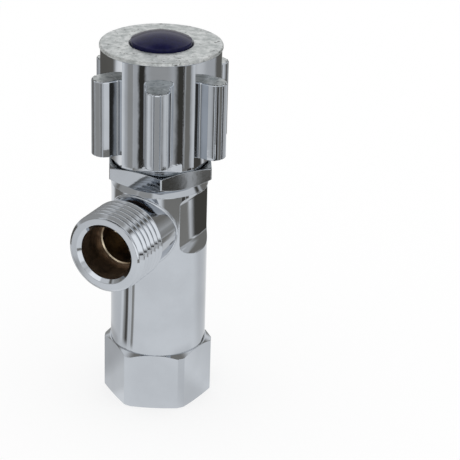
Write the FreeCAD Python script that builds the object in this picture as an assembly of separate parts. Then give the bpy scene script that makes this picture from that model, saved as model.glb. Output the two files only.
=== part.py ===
import FreeCAD, Part
import math
import os
from FreeCAD import Placement, Rotation, Vector

# Angle isolating valve, millimetres. The origin is the centre of the inlet's mouth, on the flat
# bottom face of the hexagon. +Z runs up the barrel to the handle and the outlet points along -Y.
# Turns are degrees about +Z, counted from the outlet's direction.

# Inlet end: a hexagon with a female G 1/2 thread, drawn as a plain hole at the thread's crests
inlet_flats = 25.6
inlet_hex_height = 15.6
inlet_hex_turn = -5.6
inlet_corner_radius = 14.25
inlet_thread_radius = 9.316
inlet_thread_depth = 13.5
inlet_hex_foot_angle = 11.0
inlet_hex_top_angle = 30.0

# Barrel and its top
barrel_radius = 12.55
outlet_to_body_top = 11.4
body_chamfer_height = 1.6
body_chamfer_width = 0.9
spanner_flat_offset = 10.0
spanner_flat_headroom = 2.1
spanner_flat_length = 12.3
spanner_flat_top_runout = 2.0
spanner_flat_foot_runout = 4.0

# Outlet branch: a male G 1/2 thread, drawn as a plain cylinder at the thread's crests
outlet_height = 50.6
outlet_reach = 28.4
outlet_thread_radius = 10.48
outlet_thread_length = 12.0
outlet_end_chamfer = 0.9
outlet_neck_radius = 9.6
outlet_bore_radius = 7.0
outlet_bore_depth = 9.0
outlet_countersink = 0.9
outlet_port_radius = 5.8

# Waterway inside the body
passage_radius = 8.6
seat_bore_radius = 5.3
seat_bore_length = 3.8
seat_below_outlet = 7.0
seat_land = 1.0
seat_height = 1.4
chamber_radius = 8.0

# Bonnet: the screwed cartridge housing, with its hexagon just under the handle
bonnet_thread_radius = 8.4
bonnet_thread_length = 5.9
bonnet_flats = 26.0
bonnet_corner_radius = 14.9
bonnet_hex_height = 4.55
bonnet_hex_turn = 30.0
bonnet_hex_foot_angle = 28.0
bonnet_hex_top_angle = 17.5
bonnet_collar_lap = 1.6
bonnet_neck_radius = 7.6
neck_to_boss = 3.2
guide_radius = 6.5
guide_half_flats = 5.75
guide_headroom = 2.85
gasket_thickness = 0.6
gasket_radius = 11.2

# Spindle: turns in the bonnet without rising, and drives the plunger by a coarse screw
stem_radius = 4.0
collar_radius = 5.6
collar_thickness = 2.5
drive_radius = 3.5
spline_radius = 3.65
spline_root_radius = 3.3
spline_teeth = 12
thrust_ring_thickness = 0.6
seal_section_radius = 0.6
seal_groove_width = 1.5
seal_places = (0.31, 0.65)
clip_thickness = 0.8
clip_radius = 5.6
clip_gap = 3.4

# Plunger: slides in the bonnet without turning, and carries the soft washer down to the seat
plunger_lift = 3.5
plunger_headroom = 0.5
plunger_radius = 6.4
plunger_plate_radius = 7.2
plunger_plate_thickness = 2.0
plunger_rim_depth = 1.0
plunger_floor = 0.8
soft_washer_radius = 6.55
soft_washer_thickness = 3.0
washer_screw_radius = 1.5
washer_screw_head_radius = 2.8
washer_screw_head_height = 1.2
washer_screw_length = 6.2

# Handle: one casting, with six ribs that each stand in a shallow flute
handle_gap = 1.25
handle_length = 29.2
handle_radius = 15.3
handle_rim_radius = 15.6
handle_rim_height = 0.9
handle_rim_round = 0.35
handle_bore_radius = 12.4
handle_crown = 3.2
rib_count = 6
rib_turn = 26.0
rib_nose_middle = 15.95
rib_nose_radius = 3.05
rib_headroom = 6.8
rib_foot = 2.2
middle_ridge_radius = 1.0
middle_ridge_rise = 0.3
side_ridge_radius = 0.75
side_ridge_rise = 0.2
side_ridge_turn = 41.0
flute_half_angle = 23.9
flute_hollow = 0.60
well_radius = 8.05
well_depth = 4.4
well_chamfer = 0.6
sleeve_radius = 10.0
sleeve_depth = 9.2
boss_radius = 6.6
boss_length = 7.6
screw_pocket_radius = 5.0
screw_pocket_depth = 2.0

# Handle screw, its washer and the button that hides them
handle_screw_radius = 1.65
handle_screw_length = 7.0
handle_screw_head_radius = 3.4
handle_screw_head_height = 2.0
screw_slot_width = 0.9
screw_slot_depth = 0.9
screw_washer_radius = 4.4
screw_washer_thickness = 0.6
button_radius = 7.8
button_edge_rise = 0.8
button_crown = 2.6
button_edge_chamfer = 0.5
button_hollow_radius = 5.6
button_roof = 1.9
dome_steps = 5

# Clearances, each on the radius or on one face
thread_clearance = 0.05
running_clearance = 0.05
guide_clearance = 0.10
face_clearance = 0.05
loose_clearance = 0.15
skirt_clearance = 0.40

# Heights that follow from the sizes above
seat_top = outlet_height - seat_below_outlet
chamber_floor = seat_top - seat_height
body_height = outlet_height + outlet_to_body_top
bonnet_seat = body_height + gasket_thickness
bonnet_hex_top = bonnet_seat + bonnet_hex_height
guide_top = bonnet_hex_top + guide_headroom
spindle_collar_top = guide_top - thrust_ring_thickness - face_clearance
spindle_collar_bottom = spindle_collar_top - collar_thickness
handle_bottom = bonnet_hex_top + handle_gap
handle_top = handle_bottom + handle_length
well_floor = handle_top - well_depth
screw_floor = well_floor - screw_pocket_depth
boss_bottom = screw_floor - boss_length
neck_top = boss_bottom - neck_to_boss
seal_middles = [guide_top + place * (neck_top - guide_top) for place in seal_places]
flute_floor = handle_radius * math.cos(math.radians(flute_half_angle)) - flute_hollow
spindle_top = screw_floor - loose_clearance
washer_top = seat_top + soft_washer_thickness
plate_top = washer_top + plunger_plate_thickness
plunger_top = spindle_collar_bottom - plunger_lift - plunger_headroom
washer_screw_end = seat_top + washer_screw_length + loose_clearance
drive_hole_floor = washer_screw_end + plunger_floor
drive_end = drive_hole_floor + plunger_lift + 2 * loose_clearance
thread_start = outlet_reach - outlet_thread_length


def disc(radius, low, high):
    """A solid cylinder on the Z axis."""
    return Part.makeCylinder(radius, high - low, Vector(0, 0, low))


def ring(outer, inner, low, high):
    """A plain washer on the Z axis."""
    return disc(outer, low, high).cut(disc(inner, low, high))


def turned(points):
    """A solid turned about the Z axis from a closed outline of (radius, height) points."""
    corners = [Vector(radius, 0, height) for radius, height in points]
    outline = Part.makePolygon(corners + corners[:1])
    return Part.Face(outline).revolve(Vector(0, 0, 0), Vector(0, 0, 1), 360)


def turn(shape, degrees):
    """A copy of a shape, turned about the Z axis."""
    return shape.copy().rotated(Vector(0, 0, 0), Vector(0, 0, 1), degrees)


def polar(radius, degrees, height=0.0):
    """A point at a radius and a turn, where a turn of 0 is the outlet's direction."""
    angle = math.radians(degrees)
    return Vector(radius * math.sin(angle), -radius * math.cos(angle), height)


def prism(corners, length):
    """A straight prism on a closed outline of points that lie level."""
    return Part.Face(Part.makePolygon(corners + corners[:1])).extrude(Vector(0, 0, length))


def hexagon(flats, corner_radius, low, high, corner_turn, foot_angle, top_angle):
    """A hexagon whose corners are turned down to a radius and chamfered at both ends."""
    sharp = flats / math.sqrt(3)
    corners = [polar(sharp, corner_turn + 60 * side, low) for side in range(6)]
    chamfer_width = corner_radius - flats / 2
    envelope = turned([
        (0, low),
        (flats / 2, low),
        (corner_radius, low + chamfer_width * math.tan(math.radians(foot_angle))),
        (corner_radius, high - chamfer_width * math.tan(math.radians(top_angle))),
        (flats / 2, high),
        (0, high),
    ])
    return prism(corners, high - low).common(turn(envelope, corner_turn - 90))


def along_outlet(shape):
    """Moves a shape that was drawn up the Z axis onto the outlet's axis, pointing along -Y."""
    shape = shape.copy()
    shape.Placement = Placement(Vector(0, 0, outlet_height), Rotation(Vector(1, 0, 0), 90))
    return shape


def spline(radius, root_radius, low, high):
    """A toothed rod: the spindle's head, or the hole in the handle that fits it."""
    half_pitch = 180.0 / spline_teeth
    corners = []
    for tooth in range(spline_teeth):
        middle = 2 * half_pitch * tooth
        corners.append(polar(radius, middle - 0.2 * half_pitch, low))
        corners.append(polar(radius, middle + 0.2 * half_pitch, low))
        corners.append(polar(root_radius, middle + half_pitch, low))
    return prism(corners, high - low)


def body_outside():
    """The hexagon, the barrel with its chamfered top, and the outlet branch, in one piece."""
    base = hexagon(inlet_flats, inlet_corner_radius, 0, inlet_hex_height, inlet_hex_turn,
                   inlet_hex_foot_angle, inlet_hex_top_angle)
    barrel = turned([
        (0, inlet_hex_height / 2),
        (barrel_radius, inlet_hex_height / 2),
        (barrel_radius, body_height - body_chamfer_height),
        (barrel_radius - body_chamfer_width, body_height),
        (0, body_height),
    ])
    branch = turned([
        (0, 0),
        (outlet_neck_radius, 0),
        (outlet_neck_radius, thread_start),
        (outlet_thread_radius, thread_start),
        (outlet_thread_radius, outlet_reach - outlet_end_chamfer),
        (outlet_thread_radius - outlet_end_chamfer, outlet_reach),
        (0, outlet_reach),
    ])
    return base.fuse(barrel).fuse(along_outlet(branch)).removeSplitter()


def spanner_flat(side):
    """The metal that a spanner flat takes away, on the side of +X or of -X, with curved run-outs."""
    width = 2 * barrel_radius
    high = body_height - spanner_flat_headroom - spanner_flat_top_runout
    low = high + spanner_flat_top_runout - spanner_flat_length
    block = Part.makeBox(barrel_radius, width, high - low, Vector(spanner_flat_offset, -barrel_radius, low))
    for height, runout in ((high, spanner_flat_top_runout), (low, spanner_flat_foot_runout)):
        middle = Vector(spanner_flat_offset + runout, -barrel_radius, height)
        block = block.fuse(Part.makeCylinder(runout, width, middle, Vector(0, 1, 0)))
    return block if side > 0 else block.mirror(Vector(0, 0, 0), Vector(1, 0, 0))


def waterway():
    """The hole up the body: inlet thread, passage, seat, chamber and the bonnet's thread."""
    cone_top = seat_top - seat_bore_length
    cone_low = cone_top - (passage_radius - seat_bore_radius)
    thread_low = bonnet_seat - bonnet_thread_length - loose_clearance
    thread_hole = bonnet_thread_radius + thread_clearance
    land = seat_bore_radius + seat_land
    return turned([
        (0, 0),
        (inlet_thread_radius, 0),
        (inlet_thread_radius, inlet_thread_depth),
        (passage_radius, inlet_thread_depth),
        (passage_radius, cone_low),
        (seat_bore_radius, cone_top),
        (seat_bore_radius, seat_top),
        (land, seat_top),
        (land, chamber_floor),
        (chamber_radius, chamber_floor),
        (chamber_radius, thread_low),
        (thread_hole, thread_low),
        (thread_hole, body_height),
        (0, body_height),
    ])


def outlet_hole():
    """The hole in from the outlet's end, with its countersunk mouth and its inner step."""
    mouth = outlet_bore_radius + outlet_countersink
    step = outlet_reach - outlet_bore_depth
    return along_outlet(turned([
        (0, 0),
        (outlet_port_radius, 0),
        (outlet_port_radius, step),
        (outlet_bore_radius, step),
        (outlet_bore_radius, outlet_reach - outlet_countersink),
        (mouth, outlet_reach),
        (0, outlet_reach),
    ]))


def valve_body():
    """The forged brass body."""
    solid = body_outside()
    for side in (1, -1):
        solid = solid.cut(spanner_flat(side))
    return solid.cut(waterway()).cut(outlet_hole())


def double_flat(radius, half_flats, low, high):
    """A rod with two flats, which slides but can't turn in a hole of the same form."""
    width = 2 * radius
    block = Part.makeBox(2 * half_flats, width, high - low, Vector(-half_flats, -radius, low))
    return disc(radius, low, high).common(block)


def bonnet():
    """The cartridge housing: threaded spigot, hexagon, collar and neck, with the plunger's guide inside."""
    spigot_low = bonnet_seat - bonnet_thread_length
    hex_middle = bonnet_seat + bonnet_hex_height / 2
    outside = disc(bonnet_thread_radius, spigot_low, hex_middle)
    outside = outside.fuse(hexagon(bonnet_flats, bonnet_corner_radius, bonnet_seat, bonnet_hex_top,
                                   bonnet_hex_turn, bonnet_hex_foot_angle, bonnet_hex_top_angle))
    outside = outside.fuse(disc(handle_bore_radius - skirt_clearance, hex_middle,
                                handle_bottom + bonnet_collar_lap))
    outside = outside.fuse(disc(bonnet_neck_radius, hex_middle, neck_top))
    guide = double_flat(guide_radius, guide_half_flats, spigot_low, guide_top)
    stem_hole = disc(stem_radius + running_clearance, guide_top, neck_top)
    return outside.cut(guide).cut(stem_hole).removeSplitter()


def bonnet_gasket():
    """The flat ring that seals the bonnet's hexagon on the body."""
    inner = bonnet_thread_radius + loose_clearance
    return ring(gasket_radius, inner, body_height, bonnet_seat)


def spindle():
    """Drive screw, collar, stem with two seal grooves, clip groove and splined head."""
    outline = [
        (0, drive_end),
        (drive_radius, drive_end),
        (drive_radius, spindle_collar_bottom),
        (collar_radius, spindle_collar_bottom),
        (collar_radius, spindle_collar_top),
        (stem_radius, spindle_collar_top),
    ]
    groove_radius = stem_radius - 2 * seal_section_radius
    for middle in seal_middles:
        low, high = middle - seal_groove_width / 2, middle + seal_groove_width / 2
        outline += [(stem_radius, low), (groove_radius, low), (groove_radius, high), (stem_radius, high)]
    clip_low = neck_top + face_clearance
    clip_floor = spline_radius - loose_clearance
    outline += [
        (stem_radius, clip_low),
        (clip_floor, clip_low),
        (clip_floor, clip_low + clip_thickness),
        (stem_radius, clip_low + clip_thickness),
        (stem_radius, boss_bottom),
        (0, boss_bottom),
    ]
    head = spline(spline_radius, spline_root_radius, boss_bottom, spindle_top)
    tapped = disc(handle_screw_radius, screw_floor - handle_screw_length - 1, spindle_top)
    return turned(outline).fuse(head).cut(tapped)


def stem_seal(middle):
    """One rubber ring in its groove on the stem, eight-sided in section."""
    corners = []
    for side in range(8):
        angle = math.radians(22.5 + 45 * side)
        radius = stem_radius - seal_section_radius + seal_section_radius * math.cos(angle)
        corners.append((radius, middle + seal_section_radius * math.sin(angle)))
    return turned(corners)


def thrust_ring():
    """The slippery ring between the spindle's collar and the roof of the bonnet's guide."""
    inner = stem_radius + running_clearance
    return ring(collar_radius, inner, spindle_collar_top, spindle_collar_top + thrust_ring_thickness)


def retaining_clip():
    """The open spring ring that keeps the spindle up against the bonnet's neck."""
    low = neck_top + face_clearance
    clip = ring(clip_radius, spline_radius - loose_clearance, low, low + clip_thickness)
    opening = Part.makeBox(clip_gap, 2 * clip_radius, clip_thickness, Vector(-clip_gap / 2, 0, low))
    return clip.cut(opening)


def plunger():
    """The sliding plug: a shank with two flats, a plate, and a rim that holds the soft washer."""
    shank = double_flat(plunger_radius, guide_half_flats - guide_clearance, plate_top, plunger_top)
    plate = disc(plunger_plate_radius, washer_top - plunger_rim_depth, plate_top)
    pocket = disc(soft_washer_radius + running_clearance, washer_top - plunger_rim_depth, washer_top)
    screw_hole = disc(washer_screw_radius + thread_clearance, washer_top, washer_screw_end)
    drive_hole = disc(drive_radius + running_clearance, drive_hole_floor, plunger_top)
    return shank.fuse(plate).cut(pocket).cut(screw_hole).cut(drive_hole).removeSplitter()


def soft_washer():
    """The flat rubber washer that shuts on the seat."""
    return ring(soft_washer_radius, washer_screw_radius + loose_clearance, seat_top, washer_top)


def washer_screw():
    """The small screw that holds the soft washer up in the plunger."""
    shank = disc(washer_screw_radius, seat_top, seat_top + washer_screw_length)
    head_low = seat_top - washer_screw_head_height
    head = disc(washer_screw_head_radius, head_low, seat_top)
    slot = Part.makeBox(3 * washer_screw_head_radius, screw_slot_width, washer_screw_head_height / 2,
                        Vector(-1.5 * washer_screw_head_radius, -screw_slot_width / 2, head_low))
    return shank.fuse(head).cut(slot)


def handle_rib():
    """One rib of the handle: a half-round nose with three low ridges down it."""
    length = handle_length - rib_headroom - rib_foot
    root = (handle_bore_radius + flute_floor) / 2
    nose = Vector(0, -rib_nose_middle, handle_bottom + rib_foot)
    rib = Part.makeBox(2 * rib_nose_radius, rib_nose_middle - root, length,
                       nose - Vector(rib_nose_radius, 0, 0))
    rib = rib.fuse(Part.makeCylinder(rib_nose_radius, length, nose))
    for ridge_turn, radius, rise in (
        (0, middle_ridge_radius, middle_ridge_rise),
        (side_ridge_turn, side_ridge_radius, side_ridge_rise),
        (-side_ridge_turn, side_ridge_radius, side_ridge_rise),
    ):
        middle = nose + polar(rib_nose_radius + rise - radius, ridge_turn)
        rib = rib.fuse(Part.makeCylinder(radius, length, middle))
    return rib


def handle_flute():
    """The metal that one flute takes away: a long shallow hollow under the rim."""
    half_width = handle_radius * math.sin(math.radians(flute_half_angle))
    curve = (half_width ** 2 + flute_hollow ** 2) / (2 * flute_hollow)
    length = handle_length - handle_rim_height
    return Part.makeCylinder(curve, length, Vector(0, -flute_floor - curve, handle_bottom))


def handle_outside():
    """The drum with its rim, flutes and ribs."""
    rim_low = handle_top - handle_rim_height
    drum = turned([
        (0, handle_bottom),
        (handle_radius, handle_bottom),
        (handle_radius, rim_low),
        (handle_rim_radius, rim_low),
        (handle_rim_radius, handle_top - handle_rim_round),
        (handle_rim_radius - handle_rim_round, handle_top),
        (0, handle_top),
    ])
    step = 360.0 / rib_count
    for number in range(rib_count):
        drum = drum.cut(turn(handle_flute(), rib_turn + step * number))
    for number in range(rib_count):
        drum = drum.fuse(turn(handle_rib(), rib_turn + step * number))
    return drum.removeSplitter()


def handle_inside():
    """The hollow under the handle, round its boss and round the sleeve of the button's well."""
    roof = handle_top - handle_crown
    sleeve_low = handle_top - sleeve_depth
    return turned([
        (0, handle_bottom),
        (handle_bore_radius, handle_bottom),
        (handle_bore_radius, roof),
        (sleeve_radius, roof),
        (sleeve_radius, sleeve_low),
        (boss_radius, sleeve_low),
        (boss_radius, boss_bottom),
        (0, boss_bottom),
    ])


def handle_well():
    """The well in the handle's top for the button, and the screw's pocket under it."""
    return turned([
        (0, screw_floor),
        (screw_pocket_radius, screw_floor),
        (screw_pocket_radius, well_floor),
        (well_radius, well_floor),
        (well_radius, handle_top - well_chamfer),
        (well_radius + well_chamfer, handle_top),
        (0, handle_top),
    ])


def handle():
    """The whole handle, bored to fit the spindle's splined head."""
    bore = spline(spline_radius + thread_clearance, spline_root_radius + thread_clearance,
                  boss_bottom, screw_floor)
    return handle_outside().cut(handle_inside()).cut(handle_well()).cut(bore)


def handle_screw():
    """The slotted screw that holds the handle down on the spindle."""
    head_low = screw_floor + screw_washer_thickness
    head_top = head_low + handle_screw_head_height
    shank = disc(handle_screw_radius - thread_clearance, screw_floor - handle_screw_length, head_low)
    head = disc(handle_screw_head_radius, head_low, head_top)
    slot = Part.makeBox(3 * handle_screw_head_radius, screw_slot_width, screw_slot_depth,
                        Vector(-1.5 * handle_screw_head_radius, -screw_slot_width / 2,
                               head_top - screw_slot_depth))
    return shank.fuse(head).cut(slot)


def screw_washer():
    """The flat washer under the handle screw's head."""
    inner = handle_screw_radius + loose_clearance
    return ring(screw_washer_radius, inner, screw_floor, screw_floor + screw_washer_thickness)


def indicator_button():
    """The domed coloured button, hollow underneath to clear the screw's head."""
    edge_top = handle_top + button_edge_rise
    shoulder = button_radius - button_edge_chamfer
    dome = (shoulder ** 2 + button_crown ** 2) / (2 * button_crown)
    outline = [(0, well_floor), (button_radius, well_floor), (button_radius, edge_top - button_edge_chamfer)]
    for step in range(dome_steps):
        radius = shoulder * (1 - step / dome_steps)
        outline.append((radius, edge_top + button_crown - dome + math.sqrt(dome ** 2 - radius ** 2)))
    outline.append((0, edge_top + button_crown))
    return turned(outline).cut(disc(button_hollow_radius, well_floor, edge_top - button_roof))


pieces = {
    "valve_body": valve_body(),
    "bonnet": bonnet(),
    "bonnet_gasket": bonnet_gasket(),
    "spindle": spindle(),
    "lower_stem_seal": stem_seal(seal_middles[0]),
    "upper_stem_seal": stem_seal(seal_middles[1]),
    "thrust_ring": thrust_ring(),
    "retaining_clip": retaining_clip(),
    "plunger": plunger(),
    "soft_washer": soft_washer(),
    "washer_screw": washer_screw(),
    "handle": handle(),
    "handle_screw": handle_screw(),
    "screw_washer": screw_washer(),
    "indicator_button": indicator_button(),
}

os.makedirs("parts", exist_ok=True)
for name, shape in pieces.items():
    solid = shape.Solids[0] if len(shape.Solids) == 1 else shape
    solid.exportStep("parts/" + name + ".step")
    print(name, "solids", len(shape.Solids), "valid", shape.isValid(), "volume", round(shape.Volume, 1))
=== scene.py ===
import math

import bmesh
import bpy
from mathutils import Matrix, Vector


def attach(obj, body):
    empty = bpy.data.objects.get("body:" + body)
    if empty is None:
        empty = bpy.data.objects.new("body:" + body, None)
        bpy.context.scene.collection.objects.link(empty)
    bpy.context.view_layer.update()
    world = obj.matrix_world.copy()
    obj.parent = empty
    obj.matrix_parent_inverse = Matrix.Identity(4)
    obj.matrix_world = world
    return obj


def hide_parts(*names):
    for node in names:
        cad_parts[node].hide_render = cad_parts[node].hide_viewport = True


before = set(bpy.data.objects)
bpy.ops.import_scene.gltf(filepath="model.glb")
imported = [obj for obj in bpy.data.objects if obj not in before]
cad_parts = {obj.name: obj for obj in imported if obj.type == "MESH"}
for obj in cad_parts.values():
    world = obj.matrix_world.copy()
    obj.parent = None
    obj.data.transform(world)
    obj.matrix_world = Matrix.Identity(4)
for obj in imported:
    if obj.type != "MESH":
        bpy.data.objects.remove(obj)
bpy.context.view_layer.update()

# Camera
# The valve is seen from above and from the right of its outlet, with a long lens. The camera stands
# half a metre away and leans a little to its left, as the photograph does.

camera_turn = 26.288
camera_rise = 24.530
camera_roll = 1.659
camera_aside = 0.018509
camera_height = 0.046682
camera_distance = 0.498091
camera_lens = 149.26
camera_near = 0.01

turn, rise, roll = (math.radians(angle) for angle in (camera_turn, camera_rise, camera_roll))
aside = Vector((math.cos(turn), math.sin(turn), 0))
back = Vector((math.sin(turn) * math.cos(rise), -math.cos(turn) * math.cos(rise), math.sin(rise)))
upward = back.cross(aside)
across = aside * math.cos(roll) + upward * math.sin(roll)
upright = upward * math.cos(roll) - aside * math.sin(roll)
camera = bpy.data.objects.new("camera", bpy.data.cameras.new("camera"))
camera.data.lens = camera_lens
camera.data.clip_start = camera_near
camera.matrix_world = (
    Matrix.Translation(aside * camera_aside + Vector((0, 0, camera_height)) + back * camera_distance)
    @ Matrix((across, upright, back)).transposed().to_4x4()
)
bpy.context.scene.collection.objects.link(camera)
bpy.context.scene.camera = camera
bpy.context.scene.view_settings.view_transform = "Standard"

# Studio
# A white sweep with soft light from all round. Bright metal mirrors the room: white paper near the
# valve, and past its edge the lamps, flags and dark gaps of a photographer's table.

mm = 0.001


class Signal:
    """One socket of a shader. Python's arithmetic on it adds Math nodes."""

    def __init__(self, tree, socket=None):
        self.tree = tree
        self.socket = socket

    def add(self, kind, inputs=None, output=0, **settings):
        """Adds a node: its settings first, then the values or links of its sockets."""
        node = self.tree.nodes.new(kind)
        for name, setting in settings.items():
            setattr(node, name, setting)
        for name, given in (inputs or {}).items():
            if isinstance(given, Signal):
                self.tree.links.new(given.socket, node.inputs[name])
            else:
                node.inputs[name].default_value = given
        return Signal(self.tree, node.outputs[output] if node.outputs else None)

    def math(self, operation, *values):
        """One Math node on values or sockets."""
        return self.add("ShaderNodeMath", dict(enumerate(values)), operation=operation)

    def __add__(self, other):
        return self.math("ADD", self, other)

    def __sub__(self, other):
        return self.math("SUBTRACT", self, other)

    def __rsub__(self, other):
        return self.math("SUBTRACT", other, self)

    def __mul__(self, other):
        return self.math("MULTIPLY", self, other)

    __radd__ = __add__
    __rmul__ = __mul__

    def step(self, low, high):
        """0 below low and 1 above high, with a soft rise between them."""
        return self.add("ShaderNodeMapRange", {"Value": self, "From Min": low, "From Max": high},
                        interpolation_type="SMOOTHSTEP")

    def band(self, low, high, soft):
        """1 between low and high, and 0 outside them, softened over twice the given width."""
        return self.step(low - soft, low + soft) * (1 - self.step(high - soft, high + soft))

    def blend(self, colour, other):
        """The first colour where this is 0, and the other where it is 1."""
        return self.add("ShaderNodeMix", {0: self, 6: colour, 7: other}, output=2, data_type="RGBA")

    def parts(self):
        """The X, Y and Z of a vector."""
        return [self.add("ShaderNodeSeparateXYZ", {0: self}, output=axis) for axis in range(3)]

    def bearing(self):
        """The turn of a direction or place about the Z axis, in degrees from the outlet's direction."""
        x, y, _ = self.parts()
        return self.math("ARCTAN2", x, 0 - y) * math.degrees(1)

    def cards(self, base, rows):
        """Cards laid over a base shade by a bearing: each row is (low, high, softness, shade)."""
        seen = self.add("ShaderNodeRGB")
        seen.socket.default_value = card(base)
        for low, high, soft, shade in rows:
            seen = self.band(low, high, soft).blend(seen, card(shade))
        return seen


def blank(owner):
    """The emptied shader tree of a material or of the world, ready for nodes."""
    owner.use_nodes = True
    owner.node_tree.nodes.clear()
    return Signal(owner.node_tree)


def grey(shade):
    """A neutral colour."""
    return (shade, shade, shade, 1)


warm_below = 0.6
warm_most = 0.2
warm_green = 0.3


def card(shade):
    """The colour of a card: the darker it is, the warmer."""
    warmth = warm_most * max(warm_below - shade, 0)
    return (shade * (1 + warmth), shade * (1 + warm_green * warmth), shade * (1 - warmth), 1)


backdrop_white = 1.0
studio_light = 0.95
horizon_low = -4
horizon_high = 1
table_shade = 0.6
ceiling_shade = 0.92
table_side = (
    # a card's first and last turn in degrees, its softness, and its shade as the metal shows it
    (-180, -132, 4, 0.20),
    (-124, -105, 4, 1.00),
    (-101, -74, 4, 0.14),
    (-60, -44, 4, 1.00),
    (-37, -24, 3, 0.42),
    (-14, -4, 3, 0.72),
    (0, 8, 2.5, 0.06),
    (13, 31, 3, 0.50),
    (34, 40, 1.5, 0.04),
    (46, 64, 3, 0.97),
    (67.5, 74, 1.5, 0.05),
    (76, 87, 2, 0.24),
    (91, 114, 3, 0.90),
    (118, 131, 2, 0.17),
    (148, 165, 6, 0.80),
)
overhead = (
    # first and last turn, lowest and highest rise, softness (all in degrees), shade
    (-180, 180, 60, 95, 6, 0.27),
    (-180, -125, 1, 12, 3, 0.40),
    (-26, 40, 45, 60, 4, 1.45),
    (-82, -28, 2, 34, 5, 0.45),
    (-72, -60, 36, 44, 3, 0.18),
    (-28, 10, 20, 42, 5, 0.45),
    (16, 40, 17, 33, 4, 0.12),
    (45, 152, 3, 19, 6, 0.62),
    (-122, -80, 6, 46, 6, 0.25),
    (12, 62, -14, 15, 4, 1.35),
    (123, 135, 9, 21, 3, 0.07),
    (143, 176, -14, 36, 4, 0.24),
    (137, 141.5, -16, 24, 1.5, 0.62),
)

world = bpy.data.worlds.new("white_studio")
bpy.context.scene.world = world
air = blank(world)
direction = air.add("ShaderNodeTexCoord", output="Generated")
bearing = direction.bearing()
rise = air.math("ARCSINE", direction.parts()[2]) * math.degrees(1)
table = bearing.cards(table_shade, table_side)
seen = rise.step(horizon_low, horizon_high).blend(table, grey(ceiling_shade))
for first, last, low, high, soft, shade in overhead:
    patch = rise.band(low, high, soft)
    if last - first < 360:
        patch = patch * bearing.band(first, last, soft)
    seen = patch.blend(seen, card(shade))
to_camera, mirrored, through_glass = (
    air.add("ShaderNodeLightPath", output=name)
    for name in ("Is Camera Ray", "Is Glossy Ray", "Is Transmission Ray"))
plain = air.add("ShaderNodeBackground", {"Color": grey(1), "Strength": studio_light})
white = air.add("ShaderNodeBackground", {"Color": grey(1), "Strength": backdrop_white})
reflected = air.add("ShaderNodeBackground", {"Color": seen, "Strength": 1.0})
shown = air.math("MAXIMUM", mirrored, through_glass)
lit = air.add("ShaderNodeMixShader", {0: shown, 1: plain, 2: reflected})
lit = air.add("ShaderNodeMixShader", {0: to_camera, 1: lit, 2: white})
air.add("ShaderNodeOutputWorld", {"Surface": lit})

floor_half = 3.0
floor_shade = 0.32
floor_gap = 0.05 * mm
paper_radius = 0.180
paper_sides = 96
foot_edge = 0.043
near_edge = 0.102
far_edge = 0.128
paper_shade = 1.0
paper_foot = (
    # from here to the last zone, each row is first turn, last turn, softness, shade
    (-180, -40, 10, 0.82),
    (-150, -72, 8, 0.60),
    (60, 105, 10, 0.86),
    (125, 180, 15, 0.80),
)
paper_near = (
    (-180, -64, 3, 0.82),
    (-56, -50, 4, 0.40),
    (-51, -42, 3, 0.10),
    (-39.5, -35, 1.5, 0.80),
    (-33, -27, 2, 0.34),
    (20, 80, 30, 1.03),
    (125, 180, 15, 0.80),
)
paper_middle = (
    (124, 143, 1.5, 0.28),
    (146, 174, 2.5, 0.07),
)
paper_far = (
    (-100, -60, 8, 0.22),
    (-36, -22, 6, 0.85),
    (36, 82, 6, 0.28),
    (80, 89.8, 0.4, 0.07),
    (90.7, 99, 0.4, 0.12),
    (124, 143, 1.5, 0.28),
    (146, 174, 2.5, 0.07),
)

floor_mesh = bpy.data.meshes.new("floor")
floor_corners = [(x, y, 0) for x in (-floor_half, floor_half) for y in (-floor_half, floor_half)]
floor_mesh.from_pydata(floor_corners, [], [(0, 2, 3, 1)])
floor = bpy.data.objects.new("floor", floor_mesh)
floor.location.z = -floor_gap
floor.visible_glossy = False
floor_finish = bpy.data.materials.new("white_sweep")
sweep = blank(floor_finish)
matt = sweep.add("ShaderNodeBsdfDiffuse", {"Color": grey(floor_shade)})
glow = sweep.add("ShaderNodeEmission", {"Color": grey(1), "Strength": 1 - floor_shade * studio_light})
sweep.add("ShaderNodeOutputMaterial", {"Surface": sweep.add("ShaderNodeAddShader", {0: matt, 1: glow})})
floor_mesh.materials.append(floor_finish)
bpy.context.scene.collection.objects.link(floor)

paper_mesh = bpy.data.meshes.new("mirrored_paper")
paper_turns = [math.tau * number / paper_sides for number in range(paper_sides)]
paper_rim = [(paper_radius * math.cos(a), paper_radius * math.sin(a), 0) for a in paper_turns]
paper_mesh.from_pydata(paper_rim, [], [tuple(range(paper_sides))])
paper = bpy.data.objects.new("mirrored_paper", paper_mesh)
paper.location.z = -2 * floor_gap
for sense in ("visible_camera", "visible_diffuse", "visible_shadow", "visible_transmission"):
    setattr(paper, sense, False)
paper_finish = bpy.data.materials.new("mirrored_white")
sheet = blank(paper_finish)
spot = sheet.add("ShaderNodeTexCoord", output="Object")
x, y, _ = spot.parts()
reach = sheet.math("SQRT", x * x + y * y)
turned_to = spot.bearing()
shade_here = turned_to.cards(paper_shade, paper_foot)
for edge, soft, rows in (
    (foot_edge, 3 * mm, paper_near),
    (near_edge, 3 * mm, paper_near + paper_middle),
    (far_edge, 4 * mm, paper_far),
):
    zone = turned_to.cards(paper_shade, rows)
    shade_here = reach.step(edge - soft, edge + soft).blend(shade_here, zone)
sheet.add("ShaderNodeOutputMaterial", {"Surface": sheet.add("ShaderNodeEmission", {"Color": shade_here})})
paper_mesh.materials.append(paper_finish)
bpy.context.scene.collection.objects.link(paper)

# Valve body
# One hot forging of brass, turned and threaded, then plated with nickel and chrome. It has the inlet
# hexagon below, a plain barrel, two milled spanner flats near the top and the threaded outlet.

segments = 180
pipe_pitch = 1.814
crest_round = 0.249
flank_angle = 62.5


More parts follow.
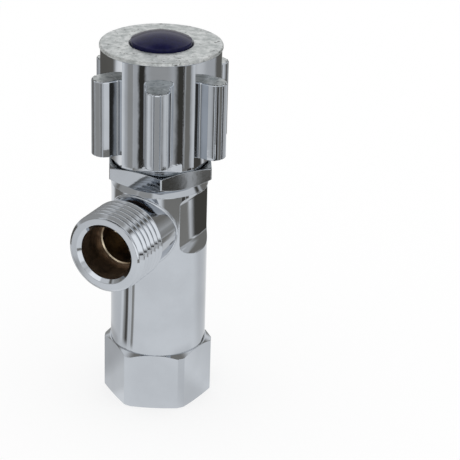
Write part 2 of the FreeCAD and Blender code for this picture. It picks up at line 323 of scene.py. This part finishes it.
def solid(bm, name):
    """Closes a mesh under construction, in millimetres, and keeps it as a helper object."""
    bmesh.ops.remove_doubles(bm, verts=bm.verts, dist=1e-4)
    bmesh.ops.dissolve_degenerate(bm, edges=bm.edges, dist=1e-5)
    bmesh.ops.recalc_face_normals(bm, faces=bm.faces)
    mesh = bpy.data.meshes.new(name)
    bm.to_mesh(mesh)
    bm.free()
    made = bpy.data.objects.new(name, mesh)
    bpy.context.scene.collection.objects.link(made)
    return made


def skin(bm, rows, first_cap=True, ringed=False):
    """Joins rings of points, all of one count, into a tube that has caps or runs back into itself."""
    rings = [[bm.verts.new(point) for point in row] for row in rows]
    count = len(rings[0])
    for below, above in zip(rings, rings[1:] + rings[:1] if ringed else rings[1:]):
        for number in range(count):
            after = (number + 1) % count
            bm.faces.new((below[number], below[after], above[after], above[number]))
    if ringed:
        return
    if first_cap:
        bm.faces.new(rings[0][::-1])
    bm.faces.new(rings[-1])


def around(radius, height, count=segments):
    """A ring of points about the Z axis."""
    turns = [math.tau * number / count for number in range(count)]
    return [(radius * math.cos(angle), radius * math.sin(angle), height) for angle in turns]


def turned(name, outline, count=segments):
    """A solid turned about the Z axis. The outline runs from its lower face to its upper face."""
    bm = bmesh.new()
    skin(bm, [around(radius, height, count) for radius, height in outline])
    return solid(bm, name)


def drilled(name, outline):
    """A ring-shaped solid: a closed outline of (radius, height) points turned about the Z axis."""
    bm = bmesh.new()
    skin(bm, [around(radius, height) for radius, height in outline], ringed=True)
    return solid(bm, name)


def prism(name, corners, low, high):
    """A straight prism on a level outline."""
    bm = bmesh.new()
    skin(bm, [[(x, y, height) for x, y in corners] for height in (low, high)])
    return solid(bm, name)


def quarter(steps):
    """The angles that part a quarter turn into equal steps."""
    return [math.radians(90 * step / steps) for step in range(steps + 1)]


def polar(radius, degrees):
    """A level point at a radius and a turn, where a turn of 0 is the outlet's direction."""
    angle = math.radians(degrees)
    return radius * math.sin(angle), -radius * math.cos(angle)


def placed(made, matrix):
    """Moves a helper's mesh, and returns it."""
    made.data.transform(matrix)
    return made


def combine(made, other, operation):
    """Adds, cuts or crosses a helper with another one, which is used up."""
    change = made.modifiers.new("combine", "BOOLEAN")
    change.operation = operation
    change.object = other
    change.solver = "EXACT"
    depsgraph = bpy.context.evaluated_depsgraph_get()
    result = bpy.data.meshes.new_from_object(made.evaluated_get(depsgraph))
    made.modifiers.clear()
    old = made.data
    made.data = result
    bpy.data.meshes.remove(old)
    bpy.data.meshes.remove(other.data)
    return made


def thread_form(crest, root, pitch, rounding, arc_steps=6):
    """One pitch of a thread as (advance, radius) points, from the middle of a crest to the next."""
    arc = [math.radians(-flank_angle + 2 * flank_angle * step / arc_steps) for step in range(arc_steps + 1)]
    top = [(rounding * math.sin(a), crest - rounding + rounding * math.cos(a)) for a in arc]
    bottom = [(pitch / 2 + rounding * math.sin(a), root + rounding - rounding * math.cos(a)) for a in arc]
    middle = arc_steps // 2
    return top[middle:] + bottom + [(pitch + along, radius) for along, radius in top[:middle]]


def threaded(name, form, pitch, low, high, low_radius, high_radius, slope, tails):
    """A rod with a thread between two heights, which fades at both ends by the slope.

    Its tails are more (radius, height) rings beyond each end.
    """
    bm = bmesh.new()
    points = len(form)
    turns = math.ceil((high - low) / pitch) + 2
    rows = []
    for number in range(points * turns + 1):
        along, radius = form[number % points]
        base = low - pitch + along + pitch * (number // points)
        row = []
        for column in range(segments):
            height = base + pitch * column / segments
            limit = min(low_radius + (height - low) * slope, high_radius + (high - height) * slope)
            here = min(radius, max(limit, min(low_radius, high_radius) - pitch))
            if height <= low:
                height, here = low, low_radius
            elif height >= high:
                height, here = high, high_radius
            angle = math.tau * column / segments
            row.append(bm.verts.new((here * math.cos(angle), here * math.sin(angle), height)))
        rows.append(row)
    last = len(rows) - 1
    for number in range(last):
        for column in range(segments):
            face = []
            for row, place in ((number, column), (number, column + 1),
                               (number + 1, column + 1), (number + 1, column)):
                # after its last column, a row goes on a whole turn higher
                if place == segments:
                    row, place = min(row + points, last), 0
                face.append(rows[row][place])
            if len(set(face)) == 4:
                bm.faces.new(face)
    bmesh.ops.remove_doubles(bm, verts=bm.verts, dist=1e-4)
    for first, rings in zip(((low_radius, low), (high_radius, high)), tails):
        skin(bm, [around(radius, height) for radius, height in (first, *rings)], first_cap=False)
    return solid(bm, name)


def hexagon(name, flats, corner_radius, low, high, corner_turn, foot_angle, top_angle):
    """A hexagon whose corners are turned down to a radius and chamfered at both ends."""
    width = corner_radius - flats / 2
    envelope = turned(name + "_envelope", [
        (flats / 2, low),
        (corner_radius, low + width * math.tan(math.radians(foot_angle))),
        (corner_radius, high - width * math.tan(math.radians(top_angle))),
        (flats / 2, high),
    ])
    corners = [polar(flats / math.sqrt(3), corner_turn + 60 * side) for side in range(6)]
    return combine(prism(name, corners, low, high), envelope, "INTERSECT")


def piece(made, finishes, body, nodes, crease=20):
    """Turns a helper, in millimetres, into a shown piece that rides on a body and stands for nodes."""
    made.data.transform(Matrix.Scale(mm, 4))
    made.data.materials.clear()
    for finish in finishes:
        made.data.materials.append(finish)
    made.data.shade_smooth()
    made.data.set_sharp_from_angle(angle=math.radians(crease))
    level = made.modifiers.new("flat_faces", "WEIGHTED_NORMAL")
    level.keep_sharp = True
    level.weight = 100
    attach(made, body)
    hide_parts(*nodes)
    return made


def plate(name, colour, roughness, waves, grain, edge):
    """Bright plating, with its edges rounded to a radius and a fine grain, both in millimetres.

    Its waves are (size, depth) pairs of the polisher's ripples, in millimetres too.
    """
    made = bpy.data.materials.new(name)
    shader = blank(made)
    place = shader.add("ShaderNodeTexCoord", output="Object")
    normal = shader.add("ShaderNodeBevel", {"Radius": edge * mm}, samples=8)
    for size, depth in waves:
        ripple = shader.add("ShaderNodeTexNoise", {"Vector": place, "Scale": 1 / (size * mm), "Detail": 1})
        normal = shader.add("ShaderNodeBump", {"Height": ripple, "Distance": depth * mm, "Normal": normal})
    fine = shader.add("ShaderNodeTexNoise", {"Vector": place, "Scale": 1400, "Detail": 3, "Roughness": 0.6})
    normal = shader.add("ShaderNodeBump", {"Height": fine, "Distance": grain * mm, "Normal": normal})
    dull = shader.add("ShaderNodeTexNoise", {"Vector": place, "Scale": 90, "Detail": 4})
    tarnish = tuple(0.93 * c for c in colour)
    surface = shader.add("ShaderNodeBsdfPrincipled", {
        "Base Color": dull.step(0.35, 0.7).blend((*colour, 1), (*tarnish, 1)),
        "Metallic": 1.0,
        "Roughness": dull * roughness + roughness * 0.5,
        "Normal": normal,
    })
    shader.add("ShaderNodeOutputMaterial", {"Surface": surface})
    return made


def bare_brass(name, colour, roughness):
    """Machined brass that never took the plating, dulled by cutting oil and water."""
    made = bpy.data.materials.new(name)
    shader = blank(made)
    place = shader.add("ShaderNodeTexCoord", output="Object")
    stain = shader.add("ShaderNodeTexNoise", {
        "Vector": place, "Scale": 420, "Detail": 5, "Roughness": 0.65})
    tool = shader.add("ShaderNodeTexNoise", {"Vector": place, "Scale": 2600, "Detail": 2})
    dark = tuple(0.45 * c for c in colour)
    surface = shader.add("ShaderNodeBsdfPrincipled", {
        "Base Color": stain.step(0.3, 0.7).blend((*dark, 1), (*colour, 1)),
        "Metallic": 1.0,
        "Roughness": stain * 0.2 + roughness,
        "Normal": shader.add("ShaderNodeBump", {"Height": tool, "Distance": 0.004 * mm}),
    })
    shader.add("ShaderNodeOutputMaterial", {"Surface": surface})
    return made


inlet_flats = 25.6
inlet_height = 15.6
inlet_turn = -5.6
inlet_corner = 14.25
inlet_foot_angle = 11
inlet_top_angle = 30
barrel = 12.55
body_top = 62.0
chamfer_height = 1.6
chamfer_width = 0.9

flat_offset = 10.4
flat_crown = 80.0
flat_high = 57.9
flat_low = 47.0
top_runout = 2.0
foot_runout = 4.0
cutter_half = 16
cutter_out = 20

outlet_height = 50.6
outlet_reach = 28.4
outlet_crest = 10.48
outlet_root = 9.318
neck = 9.6
thread_start = 16.4
thread_end = outlet_reach - 0.05
seam = 0.38

socket_root = 10.48
socket_crest = 9.316
socket_mouth = 10.9
socket_end = 9.3
socket_depth = 13.5
tap_mouth = 10.4
tap_end = 9.4
tap_low = 0.9
tap_high = 13.4
riser = 8.6
riser_low = 13.0
riser_high = 36.5
throat = 5.3
throat_low = 39.8
seat = 43.6
seat_edge = 5.5
seat_rim = 6.3
seat_depth = 1.4
chamber = 8.0
chamber_top = 56.55
spigot_hole = 8.45
bore = 7.0
bore_floor = 19.4
countersink = 0.9
port = 5.8
port_start = 4.0
port_edge = 0.3
to_outlet = Matrix.Translation((0, 0, outlet_height)) @ Matrix.Rotation(math.radians(90), 4, "X")


def flat_cutter(side, steps=8):
    """What the milling cutter and the polishing wheel take away for one slightly crowned flat."""
    arc = quarter(steps)
    levels = [(flat_low - foot_runout * math.cos(a), foot_runout * (1 - math.sin(a))) for a in arc]
    levels += [(flat_high + top_runout * math.sin(a), top_runout * (1 - math.cos(a))) for a in arc]
    rows = []
    for height, lift in levels:
        row = [(side * (flat_offset + lift - y ** 2 / (2 * flat_crown)), y, height)
               for y in range(-cutter_half, cutter_half + 1)]
        row += [(side * cutter_out, y, height) for y in (cutter_half, -cutter_half)]
        rows.append(row)
    bm = bmesh.new()
    skin(bm, rows)
    return solid(bm, "flat")


def outlet_seam(count=120, sides=10):
    """The small round fillet where the outlet's neck runs into the barrel."""
    path = []
    for number in range(count):
        angle = math.tau * number / count
        x = neck * math.sin(angle)
        z = outlet_height + neck * math.cos(angle)
        path.append(Vector((x, -math.sqrt(barrel ** 2 - x ** 2), z)))
    circle = [math.tau * number / sides for number in range(sides)]
    rows = []
    for number, middle in enumerate(path):
        along = (path[(number + 1) % count] - path[number - 1]).normalized()
        out = Vector((middle.x, middle.y, 0)).normalized()
        over = along.cross(out).normalized()
        rows.append([middle + seam * (math.cos(a) * out + math.sin(a) * over) for a in circle])
    bm = bmesh.new()
    skin(bm, rows, ringed=True)
    return solid(bm, "seam")


body = hexagon("valve_body_dressed", inlet_flats, inlet_corner, 0, inlet_height, inlet_turn,
               inlet_foot_angle, inlet_top_angle)
body = combine(body, turned("barrel", [
    (barrel, inlet_height / 2),
    (barrel, inlet_height),
    (barrel, body_top - chamfer_height),
    (barrel - chamfer_width, body_top - 0.1),
    (barrel - chamfer_width - 0.15, body_top),
]), "UNION")
for side in (1, -1):
    body = combine(body, flat_cutter(side), "DIFFERENCE")

branch = threaded(
    "branch", thread_form(outlet_crest, outlet_root, pipe_pitch, crest_round), pipe_pitch,
    low=thread_start, high=thread_end, low_radius=neck, high_radius=outlet_root + 0.2, slope=1.1,
    tails=([(neck, 0.0)], [(outlet_root + 0.12, outlet_reach)]))
body = combine(body, placed(branch, to_outlet @ Matrix.Rotation(math.pi, 4, "Z")), "UNION")
body = combine(body, outlet_seam(), "UNION")

body = combine(body, turned("waterway", [
    (riser, riser_low),
    (riser, riser_high),
    (throat, throat_low),
    (throat, seat - 0.2),
    (seat_edge, seat),
    (seat_rim, seat),
    (seat_rim, seat - seat_depth),
    (chamber, seat - seat_depth),
    (chamber, chamber_top),
    (spigot_hole, chamber_top),
    (spigot_hole, body_top - 0.4),
    (spigot_hole + 0.45, body_top + 0.05),
]), "DIFFERENCE")
tap = threaded(
    "tap", thread_form(socket_root, socket_crest, pipe_pitch, crest_round), pipe_pitch,
    low=tap_low, high=tap_high, low_radius=tap_mouth, high_radius=tap_end, slope=1.0,
    tails=([(socket_mouth, 0.0), (socket_mouth, -1.0)], [(socket_end, socket_depth)]))
body = combine(body, tap, "DIFFERENCE")
way_out = turned("way_out", [
    (port, port_start),
    (port, bore_floor - 0.25),
    (port + port_edge, bore_floor),
    (bore, bore_floor),
    (bore, outlet_reach - countersink),
    (bore + countersink, outlet_reach),
    (bore + countersink + 1, outlet_reach + 1),
])
body = combine(body, placed(way_out, to_outlet), "DIFFERENCE")

chrome_colour = (0.50, 0.53, 0.57)
body_chrome = plate("body_chrome", chrome_colour, roughness=0.05, waves=((9, 0.020), (2.5, 0.002)),
                    grain=0.0006, edge=0.2)
bore_brass = bare_brass("bore_brass", (0.40, 0.31, 0.23), roughness=0.34)
cut_edge = bare_brass("cut_edge", (0.85, 0.74, 0.56), roughness=0.22)
body = piece(body, [body_chrome, bore_brass, cut_edge], "body", ["valve_body"])
for face in body.data.polygons:
    spot = face.center / mm
    from_outlet = math.hypot(spot.x, spot.z - outlet_height)
    at_port_edge = port < from_outlet < port + port_edge and abs(spot.y + bore_floor - 0.125) < 0.1
    in_bore = from_outlet < bore + 0.1 and -outlet_reach + countersink - 0.05 < spot.y < -5
    in_waterway = math.hypot(spot.x, spot.y) < riser + 0.1 and spot.z > socket_depth + 0.1
    if at_port_edge:
        face.material_index = 2
    elif in_bore or in_waterway:
        face.material_index = 1

# Bonnet and gasket
# The bonnet is a turned and plated brass cartridge, screwed into the body by its hexagon against a
# fibre ring. It guides the plunger and holds the spindle.

bonnet_flats = 26.0
bonnet_corner = 14.9
bonnet_turn = 30
bonnet_foot_angle = 28
bonnet_top_angle = 17.5
bonnet_seat = 62.6
bonnet_top = 67.15
spigot = 8.4
spigot_low = 56.7
collar = 12.0
collar_top = 70.0
stem_neck = 7.6
neck_top = 80.4
guide = 6.5
guide_half = 5.75
guide_reach = 7
guide_top = 70.0
stem_hole = 4.05
gasket_inner = 8.55
gasket_outer = 11.2


def grained(name, scale, detail, mask, colours, roughness, swing=0, bump=0, specular=0.5):
    """A plain material that follows one fine noise: its two colours, its roughness and its relief."""
    made = bpy.data.materials.new(name)
    shader = blank(made)
    place = shader.add("ShaderNodeTexCoord", output="Object")
    grain = shader.add("ShaderNodeTexNoise", {"Vector": place, "Scale": scale, "Detail": detail})
    dark, light = colours
    sockets = {
        "Base Color": grain.step(*mask).blend((*dark, 1), (*light, 1)),
        "Roughness": grain * swing + roughness if swing else roughness,
        "Specular IOR Level": specular,
    }
    if bump:
        sockets["Normal"] = shader.add("ShaderNodeBump", {"Height": grain, "Distance": bump * mm})
    shader.add("ShaderNodeOutputMaterial", {"Surface": shader.add("ShaderNodeBsdfPrincipled", sockets)})
    return made


bonnet_chrome = plate("bonnet_chrome_plate", chrome_colour, roughness=0.07,
                      waves=((3.5, 0.008), (1.1, 0.002)), grain=0.0012, edge=0.15)
fibre = grained("red_fibre", scale=1500, detail=4, mask=(0.3, 0.7),
                colours=((0.035, 0.022, 0.016), (0.075, 0.045, 0.03)), roughness=0.8, bump=0.02)

bonnet = hexagon("bonnet_dressed", bonnet_flats, bonnet_corner, bonnet_seat, bonnet_top, bonnet_turn,
                 bonnet_foot_angle, bonnet_top_angle)
bonnet = combine(bonnet, turned("spigot", [
    (spigot - 0.5, spigot_low), (spigot, spigot_low + 0.5), (spigot, bonnet_seat + 1)]), "UNION")
bonnet = combine(bonnet, turned("collar", [
    (collar, bonnet_seat + 1), (collar, collar_top - 0.3), (collar - 0.3, collar_top)]), "UNION")
bonnet = combine(bonnet, turned("stem_neck", [
    (stem_neck, bonnet_seat + 1), (stem_neck, neck_top - 0.4), (stem_neck - 0.4, neck_top)]), "UNION")
channel = turned("guide", [(guide, spigot_low - 1), (guide, guide_top)])
channel_sides = [(-guide_half, -guide_reach), (guide_half, -guide_reach),
                 (guide_half, guide_reach), (-guide_half, guide_reach)]
channel = combine(channel, prism("guide_flats", channel_sides, spigot_low - 2, guide_top + 1), "INTERSECT")
bonnet = combine(bonnet, channel, "DIFFERENCE")
drill = turned("stem_hole", [(stem_hole, guide_top - 1), (stem_hole, neck_top + 1)])
bonnet = combine(bonnet, drill, "DIFFERENCE")
piece(bonnet, [bonnet_chrome], "body", ["bonnet"])

gasket = drilled("gasket_dressed", [
    (gasket_inner, body_top),
    (gasket_outer - 0.1, body_top),
    (gasket_outer, body_top + 0.1),
    (gasket_outer, bonnet_seat - 0.1),
    (gasket_outer - 0.1, bonnet_seat),
    (gasket_inner, bonnet_seat),
])
piece(gasket, [fibre], "body", ["bonnet_gasket"])

# Handle
# One zinc casting, polished and chromed, with six ribs that each stand in a shallow flute. Its top face,
# the tops of its ribs and its inside are left as cast under the plating, so they are satin and finely
# pitted. The toothed hole in its boss fits the spindle's head.

handle_low = 68.4
handle_top = 97.6
handle_segments = 240
drum = 15.3
rim = 15.6
rim_low = handle_top - 0.9

rib_turn = 26.0
rib_low = 70.6
rib_high = 90.8
rib_edge = 0.45
rib_top_lean = 0.03
rib_fillet = 0.5
rib_root = 13.5
rib_foot = rib_root - 0.8
nose_middle = 15.95
nose = 3.05
nose_circle = nose * 1.05
# the middle of each flat of the nose and where it ends, in degrees from the nose's front
nose_flats = ((0, 17), (34, 54.5), (75, 90))
nose_crown = 0.25
groove_places = (17, 54.5)
groove_half = 5.5
groove_depth = 0.30

flute_segments = 720
flute_half = 23.9
flute_hollow = 0.6
flute_floor = drum * math.cos(math.radians(flute_half)) - flute_hollow
flute_curve = ((drum * math.sin(math.radians(flute_half))) ** 2 + flute_hollow ** 2) / (2 * flute_hollow)

boss = 6.6
boss_low = 83.6
handle_bore = 12.4
sleeve = 10.0
sleeve_low = 88.4
roof = 94.4
screw_well = 5.0
screw_floor = 91.2
well = 7.95
well_floor = 93.2
well_edge = 8.25
spline_tip = 3.70
spline_root = 3.35
broach_top = 92.0


def rib_outline():
    """A rib's section: a fillet at its root, a flank, and a nose of slightly crowned flats with grooves."""
    side = [(nose + rib_fillet * (1 - math.sin(a)), rib_root + rib_fillet * (1 - math.cos(a)))
            for a in quarter(6)]
    front = []
    for degrees in range(90, -1, -1):
        angle = math.radians(degrees)
        middle = next(middle for middle, last in nose_flats if degrees <= last)
        flat = nose / math.cos(math.radians(degrees - middle))
        reach = flat + nose_crown * (nose_circle - flat)
        for place in groove_places:
            reach -= groove_depth * max(1 - abs(degrees - place) / groove_half, 0)
        front.append((reach * math.sin(angle), nose_middle + reach * math.cos(angle)))
    half = [(nose + rib_fillet, rib_foot)] + side + front
    return [(x, -y) for x, y in half] + [(-x, -y) for x, y in reversed(half[:-1])]


def rounded_prism(name, outline, low, high, radius, broken=0.15, steps=4):
    """A prism with a rounded top edge and a broken bottom edge. Its top leans down, away from the drum."""
    area = sum(x0 * y1 - x1 * y0 for (x0, y0), (x1, y1) in zip(outline, outline[1:] + outline[:1]))
    side = 1 if area > 0 else -1

    def ring(inset, height):
        row = []
        for number, (x, y) in enumerate(outline):
            (x0, y0), (x1, y1) = outline[number - 1], outline[(number + 1) % len(outline)]
            along = Vector((x1 - x0, y1 - y0)).normalized()
            lean = (-y - rib_root) * rib_top_lean if height > (low + high) / 2 else 0
            row.append((x - inset * along.y * side, y + inset * along.x * side, height - lean))
        return row

    rows = [ring(broken, low), ring(0, low + broken)]
    rows += [ring(radius * (1 - math.cos(a)), high - radius + radius * math.sin(a)) for a in quarter(steps)]
    bm = bmesh.new()
    skin(bm, rows)
    return solid(bm, name)


def spline_outline(tip, root, teeth=12, tooth_half=3):
    """The toothed hole in the handle that fits the spindle's head."""
    step = 360 / teeth
    corners = []
    for tooth in range(teeth):
        middle = step * tooth
        corners += [polar(tip, middle - tooth_half), polar(tip, middle + tooth_half)]
        corners += [polar(root, middle + step / 2)]
    return corners


handle = turned("handle_dressed", [
    (drum - 0.25, handle_low),
    (drum, handle_low + 0.25),
    (drum, rim_low - 0.15),
    (drum - 0.12, rim_low - 0.05),
    (drum - 0.12, rim_low),
    (rim - 0.1, rim_low),
    (rim, rim_low + 0.12),
    (rim, handle_top - 0.35),
    (rim - 0.1, handle_top - 0.12),
    (rim - 0.35, handle_top),
], handle_segments)
spins = [Matrix.Rotation(math.radians(rib_turn + 60 * number), 4, "Z") for number in range(6)]
for spin in spins:
    flute = turned("flute", [(flute_curve, handle_low - 1), (flute_curve, rim_low)], flute_segments)
    outward = Matrix.Translation((0, -flute_floor - flute_curve, 0))
    handle = combine(handle, placed(flute, spin @ outward), "DIFFERENCE")
for spin in spins:
    rib = rounded_prism("rib", rib_outline(), rib_low, rib_high, rib_edge)
    handle = combine(handle, placed(rib, spin), "UNION")
handle = combine(handle, drilled("inside", [
    (boss, handle_low - 1),
    (handle_bore + 0.2, handle_low - 1),
    (handle_bore, handle_low + 0.3),
    (handle_bore, roof),
    (sleeve, roof),
    (sleeve, sleeve_low),
    (boss, sleeve_low),
]), "DIFFERENCE")
below_boss = turned("below_boss", [(boss + 0.4, handle_low - 1), (boss + 0.4, boss_low)])
handle = combine(handle, below_boss, "DIFFERENCE")
handle = combine(handle, turned("well", [
    (screw_well, screw_floor),
    (screw_well, well_floor),
    (well, well_floor),
    (well, handle_top - 0.3),
    (well_edge, handle_top),
    (well_edge + 0.15, handle_top + 0.15),
]), "DIFFERENCE")
broach = prism("broach", spline_outline(spline_tip, spline_root), boss_low - 1, broach_top)
handle = combine(handle, broach, "DIFFERENCE")

handle_chrome = plate("handle_chrome_plate", chrome_colour, roughness=0.03,
                      waves=((7, 0.045), (1.3, 0.004)), grain=0.0006, edge=0.05)
cast_top = bpy.data.materials.new("cast_top")
shader = blank(cast_top)
place = shader.add("ShaderNodeTexCoord", output="Object")
cloud = shader.add("ShaderNodeTexNoise", {"Vector": place, "Scale": 520, "Detail": 6, "Roughness": 0.75})
speck = shader.add("ShaderNodeTexNoise", {"Vector": place, "Scale": 900, "Detail": 2})
pits = speck.step(0.64, 0.71)
mottled = cloud.step(0.35, 0.65).blend((0.42, 0.45, 0.45, 1), (0.76, 0.78, 0.78, 1))
shader.add("ShaderNodeOutputMaterial", {"Surface": shader.add("ShaderNodeBsdfPrincipled", {
    "Base Color": pits.blend(mottled, (0.20, 0.21, 0.21, 1)),
    "Metallic": 1.0,
    "Roughness": cloud * 0.25 + 0.32,
    "Normal": shader.add("ShaderNodeBump", {"Height": cloud - pits * 0.6, "Distance": 0.09 * mm}),
})})
handle = piece(handle, [handle_chrome, cast_top], "spindle_and_handle", ["handle"])
for face in handle.data.polygons:
    out = math.hypot(face.center.x, face.center.y) / mm
    on_top = face.center.z > (rim_low + 0.1) * mm and out > well_edge + 0.3 and face.normal.z > -0.1
    on_rib = abs(face.center.z / mm - rib_high) < 0.4 and face.normal.z > 0.9
    inside = out < handle_bore + 0.4
    if on_top or on_rib or inside:
        face.material_index = 1

# Button
# A moulded plastic button, hollow below and slightly domed on top. It is pressed into the well in the
# handle's top, where it hides the screw.

button_radius = 7.8
button_segments = 128
edge_round = 0.5
edge_top = handle_top + 1.0
crown = 1.7
crown_steps = 24
hollow = 5.6
hollow_top = edge_top - 1.9
shoulder = button_radius - edge_round
dome = (shoulder ** 2 + crown ** 2) / (2 * crown)

button_plastic = grained("indigo_plastic", scale=900, detail=3, mask=(0.3, 0.7),
                         colours=((0.004, 0.004, 0.030), (0.007, 0.007, 0.046)),
                         roughness=0.09, swing=0.06, bump=0.004, specular=0.16)
profile = [(button_radius, well_floor), (button_radius, edge_top - edge_round)]
profile += [(shoulder + edge_round * math.cos(a), edge_top - edge_round + edge_round * math.sin(a))
            for a in quarter(6)[1:4]]
profile += [(r, edge_top + crown - dome + math.sqrt(dome ** 2 - r ** 2))
            for r in (shoulder * (1 - step / crown_steps) for step in range(crown_steps))]
profile += [(0.02, edge_top + crown)]
button = turned("button_dressed", profile, button_segments)
button = combine(button, turned("under", [(hollow, well_floor - 1), (hollow, hollow_top)]), "DIFFERENCE")
piece(button, [button_plastic], "spindle_and_handle", ["indicator_button"])

# Inner pieces
# The spindle and the plunger are plain turned brass, and their seals and washer are nitrile rubber. The
# clip, the screws and the flat washer are stainless steel, and the thrust ring is slippery plastic.

brass = bare_brass("turned_brass", (0.55, 0.42, 0.22), roughness=0.2)
steel = plate("bright_steel", (0.56, 0.56, 0.55), roughness=0.2, waves=((4, 0.002),), grain=0.002, edge=0.1)
rubber = grained("black_rubber", scale=1200, detail=4, mask=(0.4, 0.8),
                 colours=((0.018, 0.018, 0.018), (0.04, 0.04, 0.04)), roughness=0.6, bump=0.005)
slip = grained("slip_plastic_white", scale=700, detail=2, mask=(0.3, 0.7),
               colours=((0.78, 0.78, 0.74), (0.85, 0.85, 0.82)), roughness=0.35)
inner_finishes = {
    "spindle": brass,
    "plunger": brass,
    "lower_stem_seal": rubber,
    "upper_stem_seal": rubber,
    "soft_washer": rubber,
    "thrust_ring": slip,
    "retaining_clip": steel,
    "washer_screw": steel,
    "handle_screw": steel,
    "screw_washer": steel,
}
for name, finish in inner_finishes.items():
    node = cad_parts[name]
    node.data.materials.clear()
    node.data.materials.append(finish)
